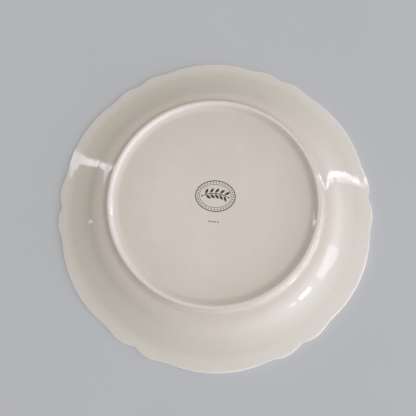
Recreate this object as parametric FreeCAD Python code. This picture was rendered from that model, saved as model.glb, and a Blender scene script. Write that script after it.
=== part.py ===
"""A china dinner plate with a scalloped rim, lying face down: its food side is below and its foot ring on top.

The plate is modelled in millimetres about its own axis, with +Z up from the food side to the foot ring. Z = 0 is the
plane of the lip, which the plate lies on when it is face down, and one notch of the rim is on the +X axis.
A fired clay body carries a glass coat on its back and another on its face, and ink marks lie on the back's coat.
"""

import FreeCAD, Part
import math
import os

# Overall size
PLATE_WIDTH = 280.0  # across two opposite wide lobes
PLATE_HEIGHT = 23.0  # lip to foot ring

# Rim outline: six sectors, each a notch, two small bumps beside it and one wide lobe
SECTORS = 6
LOBE_RADIUS = 104.0  # curvature of a wide lobe
BUMP_REACH = 139.6  # a small bump's crest, from the plate's axis
BUMP_ANGLE = 6.2  # degrees from a notch to the crest of the bump beside it
BUMP_RADIUS = 30.0
VALLEY_RADIUS = 48.0  # hollow between a bump and a wide lobe
NOTCH_RADIUS = 5.0

# Back, from the axis outwards: flat base, cove, foot ring, shoulder, wall and flared rim
BASE_RADIUS = 79.4
COVE_RADIUS = 8.0
COVE_TURN = 50.0  # degrees, the slope of the foot ring's inner side
FOOT_INNER_ROUND = 2.0
FOOT_LAND = 0.8  # width of the level band that the plate stands on
FOOT_OUTER_ROUND = 2.0
FOOT_OUTER_SLOPE = 64.0  # degrees
FOOT_FILLET = 6.9
SHOULDER_SLOPE = 12.0  # degrees
SHOULDER_LENGTH = 2.2  # of its straight part, beside the foot ring
SHOULDER_RADIUS = 27.0
WALL_SLOPE = 32.5  # degrees, the steepest part of both sides
WALL_LENGTH = 2.6
WALL_FLARE_RADIUS = 38.0  # where the wall turns out to the rim
RIM_SLOPE = 20.5  # degrees, where both sides' rims begin
RIM_FLARE_RADIUS = 86.0
LIP_BACK_SLOPE = 7.0  # degrees

# Face, from the axis outwards: level well, the turn into the wall, wall and flared rim
WELL_RADIUS = 86.0
WELL_TURN_RADIUS = 27.0
FACE_WALL_LENGTH = 2.6
FACE_WALL_FLARE_RADIUS = 40.0
FACE_RIM_FLARE_RADIUS = 86.0
LIP_FACE_SLOPE = 7.5  # degrees

# Lip and coats
LIP_ROUND = 1.4  # on both edges of the lip
GLAZE = 0.4  # thickness of both glass coats
BARE_LIP_OUTSIDE = 0.5  # the coats stop under the lip at a hairline of bare clay, between these two
BARE_LIP_INSIDE = 1.8  # distances in from the outline
BARE_LIP_HEIGHT = 1.9  # the bare ring's top, inside the clay all round

# Ink marks on the base: a plain oval with a leafy sprig, and a row of dots below it
INK = 0.06  # thickness of the printed ink
MARK_CENTRE = (2.0, 2.2)
MARK_TURN = -6.0  # degrees, as the transfer was laid on by hand
OVAL_HALF_WIDTH = 17.0
OVAL_HALF_HEIGHT = 13.6
OVAL_LINE = 0.75
INNER_OVAL_GAP = 3.4  # between the two ovals' outer lines
INNER_OVAL_LINE = 0.35
BEAD_COUNT = 36
BEAD_RADIUS = 0.5
SPRIG_RADIUS = 24.0  # curvature of the sprig's stem
SPRIG_HALF_ANGLE = 24.0  # degrees of stem each side of the oval's middle
STEM_WIDTH = 0.7
LEAF_PAIRS = 5
LEAF_LENGTH = 5.0
LEAF_WIDTH = 2.1
LEAF_LEAN = 48.0  # degrees between a leaf and the stem
BERRY_RADIUS = 0.75
BATCH_DROP = 22.0  # the batch dots' distance below the oval's middle
BATCH_DOTS = 5
BATCH_PITCH = 1.9
BATCH_DOT_RADIUS = 0.55

SECTOR_ANGLE = 360.0 / SECTORS
BEYOND = PLATE_WIDTH / 2 + 6.0  # a radius outside the whole outline
Z_AXIS = FreeCAD.Vector(0, 0, 1)
X_AXIS = FreeCAD.Vector(1, 0, 0)
ORIGIN = FreeCAD.Vector(0, 0, 0)


def polar(radius, degrees):
    """A point in the XY plane."""
    angle = math.radians(degrees)
    return FreeCAD.Vector(radius * math.cos(angle), radius * math.sin(angle), 0)


class Path:
    """A line of tangent straights and bends in the XZ plane. The offset moves it to its left, as seen along it."""

    def __init__(self, offset):
        self.offset = offset
        self.point = FreeCAD.Vector(0, 0, offset)
        self.heading = 0.0
        self.edges = []

    def along(self, degrees):
        angle = math.radians(degrees)
        return FreeCAD.Vector(math.cos(angle), 0, math.sin(angle))

    def straight(self, length):
        end = self.point + self.along(self.heading) * length
        self.edges.append(Part.makeLine(self.point, end))
        self.point = end

    def straight_to_radius(self, radius):
        self.straight((radius - self.point.x) / math.cos(math.radians(self.heading)))

    def bend(self, radius, new_heading):
        side = 1 if new_heading > self.heading else -1
        real_radius = radius - side * self.offset
        centre = self.point + self.along(self.heading + 90 * side) * real_radius
        middle_heading = (self.heading + new_heading) / 2
        middle = centre + self.along(middle_heading - 90 * side) * real_radius
        end = centre + self.along(new_heading - 90 * side) * real_radius
        self.edges.append(Part.Arc(self.point, middle, end).toShape())
        self.point = end
        self.heading = new_heading


def back_path(inset):
    """The back's profile from the axis outwards. The clay lies to its right."""
    path = Path(-inset)
    path.straight(BASE_RADIUS)
    path.bend(COVE_RADIUS, COVE_TURN)
    path.bend(FOOT_INNER_ROUND, 0.0)
    path.straight(FOOT_LAND)
    path.bend(FOOT_OUTER_ROUND, -FOOT_OUTER_SLOPE)
    path.bend(FOOT_FILLET, -SHOULDER_SLOPE)
    path.straight(SHOULDER_LENGTH)
    path.bend(SHOULDER_RADIUS, -WALL_SLOPE)
    path.straight(WALL_LENGTH)
    path.bend(WALL_FLARE_RADIUS, -RIM_SLOPE)
    path.bend(RIM_FLARE_RADIUS, -LIP_BACK_SLOPE)
    path.straight_to_radius(BEYOND)
    return path


def face_path(inset):
    """The food side's profile from the axis outwards. The clay lies to its left."""
    path = Path(inset)
    path.straight(WELL_RADIUS)
    path.bend(WELL_TURN_RADIUS, -WALL_SLOPE)
    path.straight(FACE_WALL_LENGTH)
    path.bend(FACE_WALL_FLARE_RADIUS, -RIM_SLOPE)
    path.bend(FACE_RIM_FLARE_RADIUS, -LIP_FACE_SLOPE)
    path.straight_to_radius(BEYOND)
    return path


def foot_rise():
    """Height of the foot ring above the flat base."""
    turn = 1 - math.cos(math.radians(COVE_TURN))
    return (COVE_RADIUS + FOOT_INNER_ROUND) * turn


def well_depth():
    """Depth of the well below the lip's lowest ring, which is where the lip's round begins on a wide lobe."""
    path = face_path(0.0)
    lip = PLATE_WIDTH / 2 - LIP_ROUND
    beyond_lip = (path.point.x - lip) * math.tan(math.radians(LIP_FACE_SLOPE))
    return -(path.point.z + beyond_lip)


BASE_Z = PLATE_HEIGHT - foot_rise()
WELL_Z = well_depth()


def turned_blank(inset):
    """The plate's section turned about its axis, running on past the outline."""
    back = back_path(inset)
    face = face_path(inset)
    for edge in back.edges:
        edge.translate(FreeCAD.Vector(0, 0, BASE_Z))
    for edge in face.edges:
        edge.translate(FreeCAD.Vector(0, 0, WELL_Z))
    axis_line = Part.makeLine(back.edges[0].valueAt(0), face.edges[0].valueAt(0))
    rim_line = Part.makeLine(
        FreeCAD.Vector(BEYOND, 0, BASE_Z + back.point.z), FreeCAD.Vector(BEYOND, 0, WELL_Z + face.point.z)
    )
    section = Part.Face(Part.Wire(Part.__sortEdges__(back.edges + face.edges + [axis_line, rim_line])))
    return section.revolve(ORIGIN, Z_AXIS, 360)


def meeting_point(first, first_reach, second, second_reach):
    """The point outside both centres that is at these distances from them."""
    across = second - first
    gap = across.Length
    along = (first_reach**2 - second_reach**2 + gap**2) / (2 * gap)
    aside = math.sqrt(first_reach**2 - along**2)
    normal = FreeCAD.Vector(across.y, -across.x, 0) / gap
    middle = first + across * (along / gap)
    return max((middle + normal * aside, middle - normal * aside), key=lambda point: point.Length)


def half_sector_arcs(inset):
    """(centre, radius, first point, last point) of each arc from a notch to the middle of the next wide lobe."""
    lobe_r, bump_r = LOBE_RADIUS - inset, BUMP_RADIUS - inset
    valley_r, notch_r = VALLEY_RADIUS + inset, NOTCH_RADIUS + inset
    lobe = polar(PLATE_WIDTH / 2 - LOBE_RADIUS, SECTOR_ANGLE / 2)
    bump = polar(BUMP_REACH - BUMP_RADIUS, BUMP_ANGLE)
    valley = meeting_point(lobe, LOBE_RADIUS + VALLEY_RADIUS, bump, BUMP_RADIUS + VALLEY_RADIUS)
    notch_x = bump.x + math.sqrt((BUMP_RADIUS + NOTCH_RADIUS) ** 2 - bump.y**2)
    notch = FreeCAD.Vector(notch_x, 0, 0)
    notch_to_bump = bump + (notch - bump).normalize() * bump_r
    bump_to_valley = bump + (valley - bump).normalize() * bump_r
    valley_to_lobe = lobe + (valley - lobe).normalize() * lobe_r
    lobe_crest = polar(PLATE_WIDTH / 2 - inset, SECTOR_ANGLE / 2)
    return [
        (notch, notch_r, notch - X_AXIS * notch_r, notch_to_bump),
        (bump, bump_r, notch_to_bump, bump_to_valley),
        (valley, valley_r, bump_to_valley, valley_to_lobe),
        (lobe, lobe_r, valley_to_lobe, lobe_crest),
    ]


def arc_edge(centre, radius, first, last):
    """The shorter arc between two points of a circle."""
    middle = centre + ((first + last) * 0.5 - centre).normalize() * radius
    return Part.Arc(first, middle, last).toShape()


def outline_prism(inset, z_low, z_high):
    """The scalloped outline, moved inwards and extruded between two heights."""
    half = [arc_edge(*arc) for arc in half_sector_arcs(inset)]
    mirrored = [edge.mirror(ORIGIN, FreeCAD.Vector(0, 1, 0)) for edge in half]
    edges = []
    for sector in range(SECTORS):
        for edge in half + mirrored:
            turned = edge.copy()
            turned.rotate(ORIGIN, Z_AXIS, sector * SECTOR_ANGLE)
            edges.append(turned)
    face = Part.Face(Part.Wire(Part.__sortEdges__(edges)))
    face.translate(Z_AXIS * z_low)
    return face.extrude(Z_AXIS * (z_high - z_low))


def lip_edges(blank):
    """The edges where the outline's wall meets the back and the face."""
    low_enough = PLATE_HEIGHT / 2
    rim_inside = BASE_RADIUS + WELL_TURN_RADIUS
    found = []
    for edge in blank.Edges:
        box = edge.BoundBox
        middle = edge.valueAt((edge.FirstParameter + edge.LastParameter) / 2)
        upright = abs(edge.Vertexes[0].Z - edge.Vertexes[-1].Z) > GLAZE and box.DiagonalLength < PLATE_HEIGHT
        on_rim = math.hypot(middle.x, middle.y) > rim_inside and box.ZMax < low_enough
        if on_rim and not upright:
            found.append(edge)
    return found


def plate_solid(inset):
    """The whole plate, or the shape that lies this far below its surface."""
    blank = turned_blank(inset).common(outline_prism(inset, -PLATE_HEIGHT, 2 * PLATE_HEIGHT))
    return blank.makeFillet(LIP_ROUND - inset, lip_edges(blank))


def clay_and_coats():
    """The clay body, the back's glass coat and the face's, which part from each other along the bare lip."""
    glazed = plate_solid(0.0)
    inside = outline_prism(BARE_LIP_INSIDE, -LIP_ROUND, PLATE_HEIGHT)
    bare = outline_prism(BARE_LIP_OUTSIDE, -LIP_ROUND, BARE_LIP_HEIGHT).cut(inside)
    clay = plate_solid(GLAZE).fuse(glazed.common(bare)).removeSplitter()
    coats = sorted(glazed.cut(clay).Solids, key=lambda solid: solid.BoundBox.ZMax)
    return clay.Solids[0], coats[-1], coats[0]


def on_base(face):
    """A flat ink mark drawn about the origin, laid on the base and given its thickness."""
    face.rotate(ORIGIN, Z_AXIS, MARK_TURN)
    face.translate(FreeCAD.Vector(MARK_CENTRE[0], MARK_CENTRE[1], BASE_Z))
    return face.extrude(Z_AXIS * INK)


def oval(half_width, half_height):
    return Part.Face(Part.Wire([Part.Ellipse(ORIGIN, half_width, half_height).toShape()]))


def oval_ring(half_width, half_height, line):
    return oval(half_width, half_height).cut(oval(half_width - line, half_height - line)).Faces[0]


def disc(centre, radius):
    return Part.Face(Part.Wire([Part.Circle(centre, Z_AXIS, radius).toShape()]))


def beads():
    """A ring of dots between the two ovals."""
    inwards = (OVAL_LINE + INNER_OVAL_GAP) / 2
    across, up = OVAL_HALF_WIDTH - inwards, OVAL_HALF_HEIGHT - inwards
    turns = [2 * math.pi * step / BEAD_COUNT for step in range(BEAD_COUNT)]
    return [
        disc(FreeCAD.Vector(across * math.cos(turn), up * math.sin(turn), 0), BEAD_RADIUS) for turn in turns
    ]


def stem_point(degrees, aside=0.0):
    """A point on the sprig's stem, this far from the oval's middle, or beside it."""
    middle = FreeCAD.Vector(0, -SPRIG_RADIUS + SPRIG_RADIUS * (1 - math.cos(math.radians(SPRIG_HALF_ANGLE))), 0)
    return middle + polar(SPRIG_RADIUS + aside, 90 - degrees)


def stem():
    """The sprig's stem, a narrow arc with round ends."""
    half = STEM_WIDTH / 2
    end = SPRIG_HALF_ANGLE
    sides = [
        Part.Arc(stem_point(-end, half), stem_point(0, half), stem_point(end, half)).toShape(),
        Part.Arc(stem_point(-end, -half), stem_point(0, -half), stem_point(end, -half)).toShape(),
        Part.makeLine(stem_point(-end, half), stem_point(-end, -half)),
        Part.makeLine(stem_point(end, half), stem_point(end, -half)),
    ]
    return Part.Face(Part.Wire(Part.__sortEdges__(sides)))


def leaf(root, degrees):
    """A pointed leaf made of two arcs."""
    tip = root + polar(LEAF_LENGTH, degrees)
    middle = (root + tip) * 0.5
    belly = polar(LEAF_WIDTH / 2, degrees + 90)
    sides = [Part.Arc(root, middle + belly, tip).toShape(), Part.Arc(root, middle - belly, tip).toShape()]
    return Part.Face(Part.Wire(sides))


def leaves():
    """Pairs of leaves along the stem, clear of it and of each other."""
    step = 2 * SPRIG_HALF_ANGLE / LEAF_PAIRS
    clear = STEM_WIDTH
    made = []
    for pair in range(LEAF_PAIRS):
        place = -SPRIG_HALF_ANGLE + step * (pair + 0.4)
        made.append(leaf(stem_point(place, clear), LEAF_LEAN - place))
        made.append(leaf(stem_point(place, -clear), -LEAF_LEAN - place))
    return made


def berries():
    """A dot past each end of the stem."""
    past = SPRIG_HALF_ANGLE + math.degrees((BERRY_RADIUS + STEM_WIDTH) / SPRIG_RADIUS)
    return [disc(stem_point(-past), BERRY_RADIUS), disc(stem_point(past), BERRY_RADIUS)]


def batch_dots():
    """A short row of dots under the oval."""
    first = -(BATCH_DOTS - 1) / 2
    return [
        disc(FreeCAD.Vector((first + step) * BATCH_PITCH, -BATCH_DROP, 0), BATCH_DOT_RADIUS)
        for step in range(BATCH_DOTS)
    ]


def ink_marks():
    """Every ink mark by name, each a group of flat solids."""
    inner = INNER_OVAL_GAP
    drawn = {
        "mark_outer_oval": [oval_ring(OVAL_HALF_WIDTH, OVAL_HALF_HEIGHT, OVAL_LINE)],
        "mark_inner_oval": [oval_ring(OVAL_HALF_WIDTH - inner, OVAL_HALF_HEIGHT - inner, INNER_OVAL_LINE)],
        "mark_beads": beads(),
        "mark_sprig_stem": [stem()],
        "mark_sprig_leaves": leaves(),
        "mark_sprig_berries": berries(),
        "mark_batch_dots": batch_dots(),
    }
    return {name: Part.makeCompound([on_base(face) for face in faces]) for name, faces in drawn.items()}


def main():
    clay_body, glaze_back, glaze_face = clay_and_coats()
    nodes = {"clay_body": clay_body, "glaze_back": glaze_back, "glaze_face": glaze_face}
    nodes.update(ink_marks())
    os.makedirs("parts", exist_ok=True)
    for name, shape in nodes.items():
        shape.exportStep(f"parts/{name}.step")
        box = shape.BoundBox
        print(
            f"{name}: {len(shape.Solids)} solids, valid {shape.isValid()}, volume {shape.Volume:.2f} mm3, "
            f"z {box.ZMin:.3f} to {box.ZMax:.3f}, {box.XLength:.2f} x {box.YLength:.2f}"
        )
    print(f"base at {BASE_Z:.2f}, well {WELL_Z:.2f} deep, floor {BASE_Z - WELL_Z:.2f} thick")


main()
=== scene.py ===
"""A glazed china dinner plate with a scalloped rim, lying face down on a pale floor in soft studio light.

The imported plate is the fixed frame. Its bare clay and its printed marks stay as they are, with fired-clay and ink
materials. Its two glass coats are built again as finer meshes along the same profiles and the same outline, with the
faint waviness of poured glaze. Sizes are in millimetres and degrees unless a comment says otherwise.
"""

import math

import bpy
import numpy as np
from mathutils import Matrix, Vector


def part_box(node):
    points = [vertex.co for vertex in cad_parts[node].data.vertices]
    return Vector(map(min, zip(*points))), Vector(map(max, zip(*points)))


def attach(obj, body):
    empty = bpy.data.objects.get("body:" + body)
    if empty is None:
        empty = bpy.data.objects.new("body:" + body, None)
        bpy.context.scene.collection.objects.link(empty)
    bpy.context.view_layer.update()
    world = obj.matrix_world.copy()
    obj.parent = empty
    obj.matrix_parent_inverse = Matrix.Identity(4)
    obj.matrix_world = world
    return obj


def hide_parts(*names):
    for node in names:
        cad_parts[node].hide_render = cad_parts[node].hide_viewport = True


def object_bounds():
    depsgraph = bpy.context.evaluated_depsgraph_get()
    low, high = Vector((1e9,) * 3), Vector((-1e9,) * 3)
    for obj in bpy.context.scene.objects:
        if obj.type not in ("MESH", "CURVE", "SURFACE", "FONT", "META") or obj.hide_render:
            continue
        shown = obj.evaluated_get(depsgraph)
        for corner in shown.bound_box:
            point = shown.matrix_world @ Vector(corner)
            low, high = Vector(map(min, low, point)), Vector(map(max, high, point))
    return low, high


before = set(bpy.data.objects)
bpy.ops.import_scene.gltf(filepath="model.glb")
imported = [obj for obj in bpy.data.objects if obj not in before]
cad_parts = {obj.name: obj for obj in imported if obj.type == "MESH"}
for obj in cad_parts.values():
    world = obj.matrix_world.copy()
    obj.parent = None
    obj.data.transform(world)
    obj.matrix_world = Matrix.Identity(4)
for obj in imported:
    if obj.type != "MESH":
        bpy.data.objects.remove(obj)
cad_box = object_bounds()

MM = 0.001  # metres

# The plate's place and overall size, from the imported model
PLATE_CENTRE = (cad_box[0] + cad_box[1]) / 2
PLATE_WIDTH = (cad_box[1].y - cad_box[0].y) / MM
BASE_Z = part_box("mark_outer_oval")[0].z / MM
WELL_TOP_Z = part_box("glaze_face")[1].z / MM

# Rim outline: six sectors, each a notch, two small bumps beside it and one wide lobe
SECTORS = 6
SECTOR_ANGLE = 360.0 / SECTORS
LOBE_RADIUS = 104.0
BUMP_REACH = 139.6
BUMP_ANGLE = 6.2
BUMP_RADIUS = 30.0
VALLEY_RADIUS = 48.0
NOTCH_RADIUS = 5.0

# Back, from the axis outwards
BASE_RADIUS = 79.4
COVE_RADIUS = 8.0
COVE_TURN = 50.0
FOOT_INNER_ROUND = 2.0
FOOT_LAND = 0.8
FOOT_OUTER_ROUND = 2.0
FOOT_OUTER_SLOPE = 64.0
FOOT_FILLET = 6.9
SHOULDER_SLOPE = 12.0
SHOULDER_LENGTH = 2.2
SHOULDER_RADIUS = 27.0
WALL_SLOPE = 32.5
WALL_LENGTH = 2.6
WALL_FLARE_RADIUS = 38.0
RIM_SLOPE = 20.5
RIM_FLARE_RADIUS = 86.0
LIP_BACK_SLOPE = 7.0

# Face, from the axis outwards
WELL_RADIUS = 86.0
WELL_TURN_RADIUS = 27.0
FACE_WALL_LENGTH = 2.6
FACE_WALL_FLARE_RADIUS = 40.0
FACE_RIM_FLARE_RADIUS = 86.0
LIP_FACE_SLOPE = 7.5

# Lip and coats
LIP_ROUND = 1.4
GLAZE = 0.4
BARE_LIP_OUTSIDE = 0.5
BARE_LIP_INSIDE = 1.8

# The coats' meshes
SPOKES = 96 * SECTORS
NOTCH_CROWDING = 0.72  # how much closer together the spokes are at a notch, from 0, even, to 1
HALVING_RADII = (48.0, 20.0, 9.0, 4.5)  # inside each of these, every second spoke ends
SCALLOP_STARTS = 108.0  # the radius where the mesh's round rings begin to take the outline's shape
BEYOND = 146.0  # the profiles run on to here, and the outline cuts them short
WAVE_HEIGHT = 0.03  # the glaze's waviness
LEVEL_RADIUS = 24.0  # the printed marks' part of the base has none

# Where the glaze's tone changes, and where painted highlights and painted shade lie: distances from the axis, then
# heights above the lip's plane
CENTRE_PALES = (82.0, 45.0)
RIM_YELLOWS = (92.0, 128.0)
# Band over the top of the foot ring that gets a painted highlight
FOOT_CREST_HIGHLIGHT = (83.2, 85.6, 87.3, 88.5)
# Band of the fillet outside the foot ring that gets painted shade
FOOT_FILLET_SHADE = (87.5, 89.5, 92.0, 95.0)
RIM_END = (6.2, 4.2)
# Heights of the lip's upper rounded edge, which gets a painted highlight all round
LIP_EDGE_HIGHLIGHT = (4.1, 3.3)

# Floor and camera
FLOOR_SPREAD = 6.0  # metres
FLOOR_SIDES = 64
SENSOR_WIDTH = 36.0
LENS = 25.96
CAMERA_PLACE = (0.0020, -0.2087, 0.9454)  # from the middle of the plate's lip, in plate widths
CAMERA_YAW = -1.68
CAMERA_LEAN = 11.59
CAMERA_ROLL = 1.49

# Narrow panes of light round the plate
WALL_MIDDLE = (106.0, 13.2)  # radius and height of the middle of the plate's wall
PANE_DISTANCE = 0.85  # metres
PANES = (
    # name, the plate's side it is seen from, azimuth, width, sill and top in degrees, radiance, colour
    # A sill of -0.88 is just above the floor.
    ("right_pane", 10.8, 22.7, 2.8, -0.88, 30, 7.5, (0.88, 0.92, 1.0)),
    ("right_middle_pane", 10.8, 22.0, 2.8, 30, 34, 7, (0.88, 0.92, 1.0)),
    ("right_upper_pane", 10.8, 21.1, 3.0, 34, 42, 6.5, (0.88, 0.92, 1.0)),
    ("right_dim_pane", 10.8, 20.0, 2.6, 3, 46, 3, (1.0, 0.95, 1.0)),
    ("left_low_pane", 159.8, 149.2, 3.0, -0.88, 20, 5.8, (0.86, 0.9, 1.0)),
    ("left_middle_pane", 159.8, 148.6, 3.2, 20, 28, 7, (0.86, 0.9, 1.0)),
    ("left_bend_pane", 159.8, 148.0, 3.3, 28, 33, 7, (0.86, 0.9, 1.0)),
    ("left_upper_pane", 159.8, 147.4, 4.2, 33, 37, 5.5, (0.86, 0.9, 1.0)),
    ("left_slanted_pane", 159.8, 148.0, 7.0, 37, 41, 4.2, (0.86, 0.9, 1.0)),
    ("left_top_pane", 159.8, 148.9, 10.5, 41, 50, 3.5, (0.88, 0.92, 1.0)),
    ("left_glint_pane", 186.3, 176.6, 1.3, 1, 8, 3, (1.0, 1.0, 1.0)),
    ("left_crest_pane", 186.3, 172.8, 3, 52, 58, 4, (1.0, 1.0, 1.0)),
    ("window_left_pane", -32.7, -24.7, 8.6, 3, 20, 3.1, (0.68, 0.77, 1.0)),
    ("window_right_pane", -32.7, -15.2, 10.4, 3, 25, 3.1, (0.68, 0.77, 1.0)),
    ("low_pane", -50.7, -39, 8.5, 6.8, 13.3, 15, (0.95, 0.97, 1.0)),
    ("low_side_pane", -50.7, -48, 4, 7, 13, 4, (0.95, 0.97, 1.0)),
    ("low_strip_pane", -40, -32, 75, -0.85, 4, 5, (0.95, 0.95, 1.0)),
    ("near_strip_pane", -90, -94, 48, -0.85, 4, 4, (0.95, 0.95, 1.0)),
)

# Soft studio light: broad bright patches all round, and an even part
PATCH_SHARPNESS = 9.0  # a patch falls to half about 23 degrees from its middle
PATCHES = (
    # azimuth and elevation in degrees, strength, colour
    (0, 90, 0.96, (0.99, 1.0, 0.93)),
    (-45, 34, 1.42, (0.94, 0.92, 1.0)),
    (-45, 8, 1.28, (0.85, 0.92, 1.0)),
    (0, 60, 0.38, (1.0, 0.97, 1.0)),
    (0, 8, 1.0, (0.9, 0.83, 1.0)),
    (45, 34, 0.46, (0.98, 1.0, 1.0)),
    (135, 34, 0.2, (1.0, 0.85, 0.75)),
    (135, 8, 0.13, (1.0, 0.9, 1.0)),
    (90, 60, 0.2, (1.0, 0.97, 0.6)),
    (-90, 34, 0.05, (0.8, 1.0, 0.8)),
    (-90, 8, 0.38, (0.85, 1.0, 0.9)),
)
EVEN_LIGHT = 0.13
EVEN_COLOUR = (1.0, 0.97, 0.86, 1.0)
BACKDROP = (0.72, 0.73, 0.75, 1.0)


class Profile:
    """A line of tangent straights and bends in a plane through the plate's axis, as points with their headings."""

    def __init__(self, height):
        self.points = [(0.0, height, 0.0)]

    def step(self, length, turn):
        """One chord, which turns by half of this before it and half after."""
        radius, height, heading = self.points[-1]
        angle = math.radians(heading + turn / 2)
        self.points.append((radius + length * math.cos(angle), height + length * math.sin(angle), heading + turn))

    def straight(self, length, steps):
        for _ in range(steps):
            self.step(length / steps, 0.0)

    def straight_to(self, radius, steps):
        """A straight out to this distance from the axis."""
        last_radius, _, heading = self.points[-1]
        self.straight((radius - last_radius) / math.cos(math.radians(heading)), steps)

    def bend(self, radius, new_heading, steps):
        """A round bend to a new heading, in degrees above level."""
        turn = (new_heading - self.points[-1][2]) / steps
        chord = 2 * radius * math.sin(math.radians(abs(turn)) / 2)
        for _ in range(steps):
            self.step(chord, turn)

    def at(self, radius):
        """Height and heading at these distances from the axis."""
        radii, heights, headings = zip(*self.points)
        return np.interp(radius, radii, heights), np.interp(radius, radii, headings)


def back_profile():
    """The back from the axis outwards: base, cove, foot ring, shoulder, wall and flare."""
    profile = Profile(BASE_Z)
    profile.straight(BASE_RADIUS, steps=20)
    profile.bend(COVE_RADIUS, COVE_TURN, steps=12)
    profile.bend(FOOT_INNER_ROUND, 0.0, steps=8)
    profile.straight(FOOT_LAND, steps=1)
    profile.bend(FOOT_OUTER_ROUND, -FOOT_OUTER_SLOPE, steps=10)
    profile.bend(FOOT_FILLET, -SHOULDER_SLOPE, steps=12)
    profile.straight(SHOULDER_LENGTH, steps=2)
    profile.bend(SHOULDER_RADIUS, -WALL_SLOPE, steps=10)
    profile.straight(WALL_LENGTH, steps=2)
    profile.bend(WALL_FLARE_RADIUS, -RIM_SLOPE, steps=5)
    profile.bend(RIM_FLARE_RADIUS, -LIP_BACK_SLOPE, steps=17)
    profile.straight_to(BEYOND, steps=1)
    return profile


def face_profile():
    """The food side from the axis outwards: well, turn, wall and flare."""
    profile = Profile(WELL_TOP_Z - GLAZE)
    profile.straight(WELL_RADIUS, steps=20)
    profile.bend(WELL_TURN_RADIUS, -WALL_SLOPE, steps=10)
    profile.straight(FACE_WALL_LENGTH, steps=1)
    profile.bend(FACE_WALL_FLARE_RADIUS, -RIM_SLOPE, steps=4)
    profile.bend(FACE_RIM_FLARE_RADIUS, -LIP_FACE_SLOPE, steps=14)
    profile.straight_to(BEYOND, steps=1)
    return profile


def polar(radius, degrees):
    """A point in the outline's plane, as a complex number."""
    return radius * np.exp(1j * np.radians(degrees))


def meeting_point(first, first_reach, second, second_reach):
    """The point outside both centres that is at these distances from them."""
    across = second - first
    gap = abs(across)
    along = (first_reach**2 - second_reach**2 + gap**2) / (2 * gap)
    aside = 1j * math.sqrt(first_reach**2 - along**2)
    return max((first + across / gap * (along + side * aside) for side in (-1, 1)), key=abs)


def outline_radius(degrees):
    """Distance from the axis to the scalloped outline in each direction, which is measured from a notch."""
    lobe = polar(PLATE_WIDTH / 2 - LOBE_RADIUS, SECTOR_ANGLE / 2)
    bump = polar(BUMP_REACH - BUMP_RADIUS, BUMP_ANGLE)
    valley = meeting_point(lobe, LOBE_RADIUS + VALLEY_RADIUS, bump, BUMP_RADIUS + VALLEY_RADIUS)
    notch = bump.real + math.sqrt((BUMP_RADIUS + NOTCH_RADIUS) ** 2 - bump.imag**2) + 0j
    notch_ends = bump + (notch - bump) / abs(notch - bump) * BUMP_RADIUS
    bump_ends = bump + (valley - bump) / abs(valley - bump) * BUMP_RADIUS
    valley_ends = lobe + (valley - lobe) / abs(valley - lobe) * LOBE_RADIUS
    folded = abs((degrees + SECTOR_ANGLE / 2) % SECTOR_ANGLE - SECTOR_ANGLE / 2)

    def reach(centre, radius, side):
        seen = centre * polar(1, -folded)
        return seen.real + side * np.sqrt(np.maximum(radius**2 - seen.imag**2, 0))

    ends = [folded <= np.degrees(np.angle(end)) for end in (notch_ends, bump_ends, valley_ends)]
    arcs = [reach(notch, NOTCH_RADIUS, -1), reach(bump, BUMP_RADIUS, 1), reach(valley, VALLEY_RADIUS, -1)]
    return np.select(ends, arcs, reach(lobe, LOBE_RADIUS, 1))


def spoke_directions():
    """The direction of each spoke of the mesh, closer together towards the notches."""
    sector = np.arange(SPOKES) / SPOKES * SECTORS
    return SECTOR_ANGLE * (sector - NOTCH_CROWDING * np.sin(2 * np.pi * sector) / (2 * np.pi))


DIRECTIONS = spoke_directions()
OUTLINE = outline_radius(DIRECTIONS)


def smooth_step(value, low, high):
    """A smooth rise from 0 to 1 as the value goes from low to high."""
    share = np.clip((value - low) / (high - low), 0, 1)
    return share * share * (3 - 2 * share)


def wave(x, y):
    """The glaze's waviness: ripples that run across each other, each with its own length and phase."""
    ripples = np.sin(x / 8.3 + 1.1) * np.sin(y / 10.7 + 0.4) + 0.6 * np.sin((x + y) / 6.1 + 2.0)
    slow = np.sin(x / 19.0 - y / 27.0 + 0.7) + np.sin(y / 16.0 + x / 31.0)
    return WAVE_HEIGHT * (0.45 * ripples + 0.55 * slow) / 2


class Ring:
    """One ring of points round the plate: their radii and heights, and the profile's heading there."""

    def __init__(self, radius, height, heading):
        self.radius = np.broadcast_to(radius, DIRECTIONS.shape)
        self.height = np.broadcast_to(height, DIRECTIONS.shape)
        self.heading = np.radians(np.broadcast_to(heading, DIRECTIONS.shape))

    def points(self, out):
        """The ring's points, moved out along the profile's left side by this much. A small ring drops spokes."""
        radius = self.radius - out * np.sin(self.heading)
        height = self.height + out * np.cos(self.heading)
        angle = np.radians(DIRECTIONS)
        points = np.stack([radius * np.cos(angle), radius * np.sin(angle), height], axis=1)
        skip = 2 ** sum(self.radius[0] < limit for limit in HALVING_RADII)
        return points[::skip]

    def wavy_points(self):
        """The ring's points on the glaze's own surface."""
        place = polar(self.radius, DIRECTIONS)
        away = smooth_step(self.radius, LEVEL_RADIUS, 2 * LEVEL_RADIUS)
        return self.points(wave(place.real, place.imag) * away)


def profile_rings(profile, end):
    """Rings along a profile, from the axis to these last radii. The outer rings take the outline's shape."""
    nominal = PLATE_WIDTH / 2
    rings = []
    for radius, _, _ in profile.points[1:]:
        if radius < nominal - BARE_LIP_INSIDE:
            follows = smooth_step(radius, SCALLOP_STARTS, nominal - LIP_ROUND)
            real = radius + follows * (OUTLINE - nominal)
            rings.append(Ring(real, *profile.at(real)))
    rings.append(Ring(end, *profile.at(end)))
    return rings


def lip_rings(centre_height, first_heading, last_heading, steps):
    """Rings round one of the lip's two rounded edges."""
    rings = []
    for heading in np.linspace(first_heading, last_heading, steps):
        angle = np.radians(heading)
        radius = OUTLINE - LIP_ROUND - LIP_ROUND * np.sin(angle)
        rings.append(Ring(radius, centre_height + LIP_ROUND * np.cos(angle), heading))
    return rings


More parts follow.
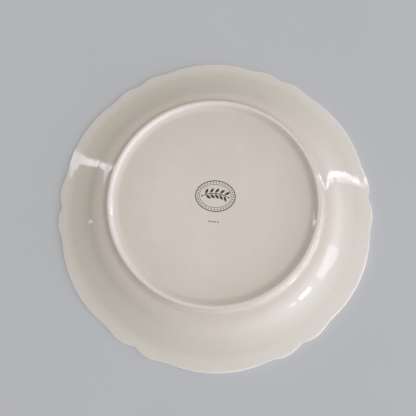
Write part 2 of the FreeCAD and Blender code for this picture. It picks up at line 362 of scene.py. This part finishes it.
def back_rings():
    """The back's glass surface, from the axis over the foot ring and the lip to the bare hairline under it."""
    back, face = back_profile(), face_profile()
    _, slope = back.at(OUTLINE - LIP_ROUND)
    round_starts = OUTLINE - LIP_ROUND - LIP_ROUND * np.sin(np.radians(slope))
    top, slope = back.at(round_starts)
    under, under_slope = face.at(OUTLINE - LIP_ROUND)
    upper_centre = top - LIP_ROUND * np.cos(np.radians(slope))
    lower_centre = under + LIP_ROUND / np.cos(np.radians(under_slope))
    edge_heading = -180 + math.degrees(math.asin(1 - BARE_LIP_OUTSIDE / LIP_ROUND))
    rings = profile_rings(back, round_starts)
    rings += lip_rings(upper_centre, slope, -90.0, steps=10)[1:]
    rings += lip_rings(lower_centre, -90.0, edge_heading, steps=6)
    return rings


def face_rings():
    """The food side's glass surface, from the axis to the bare hairline under the lip."""
    return profile_rings(face_profile(), OUTLINE - BARE_LIP_INSIDE)


def around(count):
    """Each step round a ring, with the one after it."""
    return [(step, (step + 1) % count) for step in range(count)]


def bridge(inner, inner_count, outer, outer_count):
    """Faces between two rings that start at these point numbers. Their counts are equal, or one is double or 1."""
    faces = []
    if inner_count == outer_count:
        for here, after in around(inner_count):
            faces.append((inner + here, outer + here, outer + after, inner + after))
    elif inner_count == 1:
        for here, after in around(outer_count):
            faces.append((inner, outer + here, outer + after))
    elif outer_count == 1:
        for here, after in around(inner_count):
            faces.append((inner + here, outer, inner + after))
    elif outer_count == 2 * inner_count:
        for here, after in around(inner_count):
            near, far, middle = inner + here, inner + after, outer + 2 * here + 1
            faces += [(near, middle - 1, middle), (near, middle, far), (far, middle, outer + 2 * after)]
    else:
        for here, after in around(outer_count):
            near, far, middle = outer + here, outer + after, inner + 2 * here + 1
            faces += [(middle - 1, near, middle), (middle, near, far), (middle, far, inner + 2 * after)]
    return faces


def loft(name, rings):
    """A closed mesh through rings of points. The first and last are single points on the plate's axis."""
    faces = []
    start = 0
    for ring, following in zip(rings, rings[1:]):
        faces += bridge(start, len(ring), start + len(ring), len(following))
        start += len(ring)
    mesh = bpy.data.meshes.new(name)
    mesh.from_pydata((np.concatenate(rings) * MM).tolist(), [], faces)
    mesh.shade_smooth()
    piece = bpy.data.objects.new(name, mesh)
    bpy.context.scene.collection.objects.link(piece)
    return piece


def coat(name, rings, height, side):
    """A glass coat: its wavy outer surface, and a coarser one on the clay, one glaze thickness under it."""
    hidden = rings[1:-1:2] + rings[-1:]
    outer = [np.array([[0.0, 0.0, height]])] + [ring.wavy_points() for ring in rings]
    inner = [np.array([[0.0, 0.0, height - side * GLAZE]])] + [ring.points(-side * GLAZE) for ring in hidden]
    if side > 0:
        return loft(name, outer + inner[::-1])
    return loft(name, inner + outer[::-1])


class Paint:
    """A material's node tree, with short ways to add its nodes."""

    def __init__(self, name):
        self.material = bpy.data.materials.new(name)
        self.material.use_nodes = True
        self.tree = self.material.node_tree
        self.shader = self.tree.nodes["Principled BSDF"]
        place = self.tree.nodes.new("ShaderNodeTexCoord")
        self.place = place.outputs["Object"]

    def put(self, socket, value):
        """Link a socket to this one, or set its value."""
        if isinstance(value, bpy.types.NodeSocket):
            self.tree.links.new(value, socket)
        else:
            socket.default_value = value

    def set(self, **inputs):
        """Set the shader's own inputs by name."""
        for name, value in inputs.items():
            self.put(self.shader.inputs[name.replace("_", " ")], value)

    def maths(self, operation, first, second):
        node = self.tree.nodes.new("ShaderNodeMath")
        node.operation = operation
        self.put(node.inputs[0], first)
        self.put(node.inputs[1], second)
        return node.outputs[0]

    def between(self, value, low, high, to_low=0.0, to_high=1.0):
        """A smooth rise from one value to another as the given one goes from low to high."""
        node = self.tree.nodes.new("ShaderNodeMapRange")
        node.interpolation_type = "SMOOTHSTEP"
        for name, number in (("From Min", low), ("From Max", high), ("To Min", to_low), ("To Max", to_high)):
            node.inputs[name].default_value = number
        self.put(node.inputs["Value"], value)
        return node.outputs["Result"]

    def band(self, value, rise, level, fall, end):
        """1 from level to fall, smoothly down to 0 at rise and at end."""
        return self.maths("MULTIPLY", self.between(value, rise, level), self.between(value, fall, end, 1.0, 0.0))

    def noise(self, grain, detail=2.0, roughness=0.5):
        """Noise whose patches are about this many millimetres across."""
        node = self.tree.nodes.new("ShaderNodeTexNoise")
        node.inputs["Scale"].default_value = 1 / (grain * MM)
        node.inputs["Detail"].default_value = detail
        node.inputs["Roughness"].default_value = roughness
        self.put(node.inputs["Vector"], self.place)
        return node.outputs["Fac"]

    def mix(self, share, first, second):
        node = self.tree.nodes.new("ShaderNodeMix")
        node.data_type = "RGBA"
        self.put(node.inputs["Factor"], share)
        self.put(node.inputs["A"], first)
        self.put(node.inputs["B"], second)
        return node.outputs["Result"]

    def tint(self, tone, colour, where, strength):
        """The tone with this much of a colour mixed in, where the mask says."""
        return self.mix(self.maths("MULTIPLY", where, strength), tone, colour)

    def bump(self, height, depth, before=None):
        """Relief this many millimetres deep, on top of an earlier one if there is one."""
        node = self.tree.nodes.new("ShaderNodeBump")
        node.inputs["Distance"].default_value = depth * MM
        self.put(node.inputs["Height"], height)
        if before is not None:
            self.put(node.inputs["Normal"], before)
        return node.outputs["Normal"]

    def radius_and_height(self):
        """Distance from the plate's axis and height above the lip's plane, in metres."""
        split = self.tree.nodes.new("ShaderNodeSeparateXYZ")
        self.put(split.inputs[0], self.place)
        squares = [self.maths("POWER", split.outputs[axis], 2.0) for axis in ("X", "Y")]
        return self.maths("POWER", self.maths("ADD", *squares), 0.5), split.outputs["Z"]


def metres(millimetres):
    """These lengths as the shader takes them."""
    return [length * MM for length in millimetres]


def srgb(red, green, blue):
    """A colour given as it is seen, 0 to 255, as the shader takes it."""
    linear = [((value / 255 + 0.055) / 1.055) ** 2.4 for value in (red, green, blue)]
    return (*linear, 1.0)


def glaze_material(name, middle, rim, pale_tone_and_highlight, cloudy_tone_and_shade, paints_crest_highlight):
    """Glossy glaze over clay: one tone in the middle and one at the rim, paler in the centre and towards the lip, with
    painted highlights on the lip's edge and, where asked, on the top of the foot ring, and painted shade in the fillet
    outside the foot ring.
    """
    paint = Paint(name)
    radius, height = paint.radius_and_height()
    tone = paint.mix(paint.between(radius, *metres(RIM_YELLOWS)), middle, rim)
    tone = paint.tint(tone, pale_tone_and_highlight, where=paint.between(radius, *metres(CENTRE_PALES)), strength=0.25)
    cloudy = paint.between(paint.noise(38, detail=3), 0.3, 0.7)
    tone = paint.tint(tone, cloudy_tone_and_shade, where=cloudy, strength=0.12)
    mottled = paint.between(paint.noise(7, detail=4), 0.35, 0.75)
    tone = paint.tint(tone, pale_tone_and_highlight, where=mottled, strength=0.06)
    # Painted shade: the fillet outside the foot ring is painted darker, where shade falls.
    tone = paint.tint(tone, cloudy_tone_and_shade, where=paint.band(radius, *metres(FOOT_FILLET_SHADE)), strength=0.3)
    tone = paint.tint(tone, pale_tone_and_highlight, where=paint.between(height, *metres(RIM_END)), strength=0.3)
    # Painted highlight: the lip's rounded edge is painted paler all round, as if it caught the light.
    edge_highlight_mask = paint.between(height, *metres(LIP_EDGE_HIGHLIGHT))
    # Painted highlight: the top of the foot ring is painted paler, as if it caught the light.
    if paints_crest_highlight:
        crest_highlight_mask = paint.band(radius, *metres(FOOT_CREST_HIGHLIGHT))
        edge_highlight_mask = paint.maths("MAXIMUM", paint.maths("MULTIPLY", crest_highlight_mask, 0.6), edge_highlight_mask)
    # The painted highlights are uneven, in patches a few millimetres across.
    highlight_unevenness = paint.between(paint.noise(2.5, detail=3), 0.2, 0.6, 0.6, 1.0)
    tone = paint.tint(tone, pale_tone_and_highlight, where=edge_highlight_mask, strength=highlight_unevenness)
    peel = paint.bump(paint.noise(2.2, detail=2), depth=0.004)
    surface = paint.bump(paint.noise(0.5, detail=2), depth=0.0006, before=peel)
    gloss = paint.between(paint.noise(16, detail=3), 0.3, 0.8, 0.05, 0.1)
    paint.set(Base_Color=tone, Roughness=gloss, IOR=1.52, Normal=surface)
    return paint.material


def clay_material():
    """Fine fired clay, bare along the hairline under the lip."""
    paint = Paint("fired_clay_bare")
    grain = paint.noise(0.35, detail=5, roughness=0.65)
    patches = paint.noise(6, detail=3)
    tone = paint.mix(paint.between(grain, 0.3, 0.7), srgb(222, 214, 200), srgb(203, 192, 175))
    tone = paint.mix(paint.between(patches, 0.35, 0.75, 0.0, 0.4), tone, srgb(212, 196, 170))
    rough = paint.between(grain, 0.3, 0.7, 0.7, 0.9)
    paint.set(Base_Color=tone, Roughness=rough, Normal=paint.bump(grain, depth=0.05))
    return paint.material


def ink_material():
    """Near-black ink fired into the glaze, a little uneven, as a transfer print is."""
    paint = Paint("mark_ink_fired")
    worn = paint.between(paint.noise(0.7, detail=4, roughness=0.6), 0.5, 0.85)
    tone = paint.tint(srgb(40, 37, 38), srgb(92, 84, 80), where=worn, strength=0.45)
    gloss = paint.between(paint.noise(1.5, detail=3), 0.3, 0.8, 0.18, 0.34)
    paint.set(Base_Color=tone, Roughness=gloss, IOR=1.5, Normal=paint.bump(paint.noise(0.4), depth=0.004))
    return paint.material


def floor_material():
    """A plain pale, matt studio surface."""
    paint = Paint("studio_floor")
    tone = paint.mix(paint.noise(120, detail=2), srgb(201, 203, 209), srgb(205, 207, 213))
    paint.set(Base_Color=tone, Roughness=0.75)
    return paint.material


def add_coats():
    """The two glass coats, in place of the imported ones."""
    back = coat("back_coat", back_rings(), BASE_Z, 1)
    back.data.materials.append(
        glaze_material(
            "back_glaze_glossy",
            middle=srgb(213, 203, 195),
            rim=srgb(209, 204, 194),
            # the pale tone is also the colour of the painted highlights, and the cloudy tone also paints the fillet's
            # shade
            pale_tone_and_highlight=srgb(236, 228, 227),
            cloudy_tone_and_shade=srgb(192, 185, 168),
            # the top of this coat's foot ring gets a painted highlight
            paints_crest_highlight=True,
        )
    )
    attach(back, "root")
    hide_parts("glaze_back")
    face = coat("face_coat", face_rings(), WELL_TOP_Z - GLAZE, -1)
    face.data.materials.append(
        glaze_material(
            "face_glaze_glossy",
            middle=srgb(218, 212, 200),
            rim=srgb(215, 211, 198),
            # the pale tone is also the colour of the painted highlight on the lip, and the cloudy tone also paints the
            # fillet's shade
            pale_tone_and_highlight=srgb(232, 227, 221),
            cloudy_tone_and_shade=srgb(196, 190, 174),
            paints_crest_highlight=False,
        )
    )
    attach(face, "root")
    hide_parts("glaze_face")
    return back, face


def paint_kept_nodes():
    """Materials for the packed clay and marks."""
    ink = ink_material()
    materials = {"clay_body": clay_material()}
    for name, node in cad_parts.items():
        if name.startswith("mark_"):
            materials[name] = ink
        if name in materials:
            node.data.materials.clear()
            node.data.materials.append(materials[name])


def add_floor():
    """A wide round floor under the plate's lip."""
    turns = [2 * math.pi * step / FLOOR_SIDES for step in range(FLOOR_SIDES)]
    rim = [(FLOOR_SPREAD * math.cos(turn), FLOOR_SPREAD * math.sin(turn), cad_box[0].z) for turn in turns]
    mesh = bpy.data.meshes.new("floor")
    mesh.from_pydata(rim, [], [list(range(len(rim)))])
    floor = bpy.data.objects.new("floor", mesh)
    bpy.context.scene.collection.objects.link(floor)
    floor.data.materials.append(floor_material())


def add_camera():
    """A wide-angle camera close above the plate, leaning back a little."""
    data = bpy.data.cameras.new("camera")
    data.sensor_width = SENSOR_WIDTH
    data.lens = LENS
    camera = bpy.data.objects.new("camera", data)
    bpy.context.scene.collection.objects.link(camera)
    centre = Vector((PLATE_CENTRE.x, PLATE_CENTRE.y, cad_box[0].z))
    place = centre + PLATE_WIDTH * MM * Vector(CAMERA_PLACE)
    turn = Matrix.Rotation(math.radians(CAMERA_YAW), 4, "Z")
    turn @= Matrix.Rotation(math.radians(CAMERA_LEAN), 4, "X")
    turn @= Matrix.Rotation(math.radians(CAMERA_ROLL), 4, "Y")
    camera.matrix_world = Matrix.Translation(place) @ turn
    bpy.context.scene.camera = camera


def add_pane(name, side, azimuth, width, sill, top, radiance, colour):
    """An upright light like a window pane. It spans these angles as seen from the plate's wall on that side."""
    seen_from = Vector((WALL_MIDDLE[0] * MM, 0, WALL_MIDDLE[1] * MM))
    seen_from.rotate(Matrix.Rotation(math.radians(side), 3, "Z"))
    away = Vector((PANE_DISTANCE, 0, 0))
    away.rotate(Matrix.Rotation(math.radians(azimuth), 3, "Z"))
    low, high = (PANE_DISTANCE * math.tan(math.radians(angle)) for angle in (sill, top))
    across = 2 * PANE_DISTANCE * math.tan(math.radians(width) / 2)
    data = bpy.data.lights.new(name, "AREA")
    data.shape = "RECTANGLE"
    data.size, data.size_y = across, high - low
    data.energy = radiance * math.pi * across * (high - low)
    data.color = colour
    light = bpy.data.objects.new(name, data)
    bpy.context.scene.collection.objects.link(light)
    light.location = seen_from + away + Vector((0, 0, (low + high) / 2))
    light.rotation_euler = (-away).to_track_quat("-Z", "Y").to_euler()
    light.visible_camera = False
    return light


def direction(azimuth, elevation):
    """A unit vector towards this part of the studio."""
    towards = Vector((1, 0, 0))
    towards.rotate(Matrix.Rotation(math.radians(-elevation), 3, "Y"))
    towards.rotate(Matrix.Rotation(math.radians(azimuth), 3, "Z"))
    return towards


def add_studio():
    """Soft light from broad patches all round, which melt into each other. The camera itself sees a plain backdrop."""
    world = bpy.data.worlds.new("studio")
    world.use_nodes = True
    tree = world.node_tree
    bpy.context.scene.world = world
    looking = tree.nodes.new("ShaderNodeTexCoord").outputs["Generated"]
    total = tree.nodes["Background"]
    total.inputs["Color"].default_value = EVEN_COLOUR
    total.inputs["Strength"].default_value = EVEN_LIGHT
    for azimuth, elevation, strength, colour in PATCHES:
        across = tree.nodes.new("ShaderNodeVectorMath")
        across.operation = "DOT_PRODUCT"
        tree.links.new(looking, across.inputs[0])
        across.inputs[1].default_value = direction(azimuth, elevation)
        nearness = tree.nodes.new("ShaderNodeMath")
        nearness.operation = "MULTIPLY_ADD"
        tree.links.new(across.outputs["Value"], nearness.inputs[0])
        nearness.inputs[1].default_value = PATCH_SHARPNESS
        nearness.inputs[2].default_value = math.log(strength) - PATCH_SHARPNESS
        falling = tree.nodes.new("ShaderNodeMath")
        falling.operation = "EXPONENT"
        tree.links.new(nearness.outputs[0], falling.inputs[0])
        patch = tree.nodes.new("ShaderNodeBackground")
        patch.inputs["Color"].default_value = (*colour, 1.0)
        tree.links.new(falling.outputs[0], patch.inputs["Strength"])
        both = tree.nodes.new("ShaderNodeAddShader")
        tree.links.new(total.outputs[0], both.inputs[0])
        tree.links.new(patch.outputs[0], both.inputs[1])
        total = both
    backdrop = tree.nodes.new("ShaderNodeBackground")
    backdrop.inputs["Color"].default_value = BACKDROP
    seen = tree.nodes.new("ShaderNodeMixShader")
    tree.links.new(tree.nodes.new("ShaderNodeLightPath").outputs["Is Camera Ray"], seen.inputs[0])
    tree.links.new(total.outputs[0], seen.inputs[1])
    tree.links.new(backdrop.outputs[0], seen.inputs[2])
    tree.links.new(seen.outputs[0], tree.nodes["World Output"].inputs["Surface"])


def add_lights(coats):
    """The soft studio light, and panes of light that show as the glaze's highlights. They light only the plate."""
    add_studio()
    plate = bpy.data.collections.new("lit_by_panes")
    for piece in (*coats, *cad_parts.values()):
        plate.objects.link(piece)
    for pane in PANES:
        add_pane(*pane).light_linking.receiver_collection = plate


bpy.context.scene.view_settings.view_transform = "Standard"
coats = add_coats()
paint_kept_nodes()
add_floor()
add_camera()
add_lights(coats)
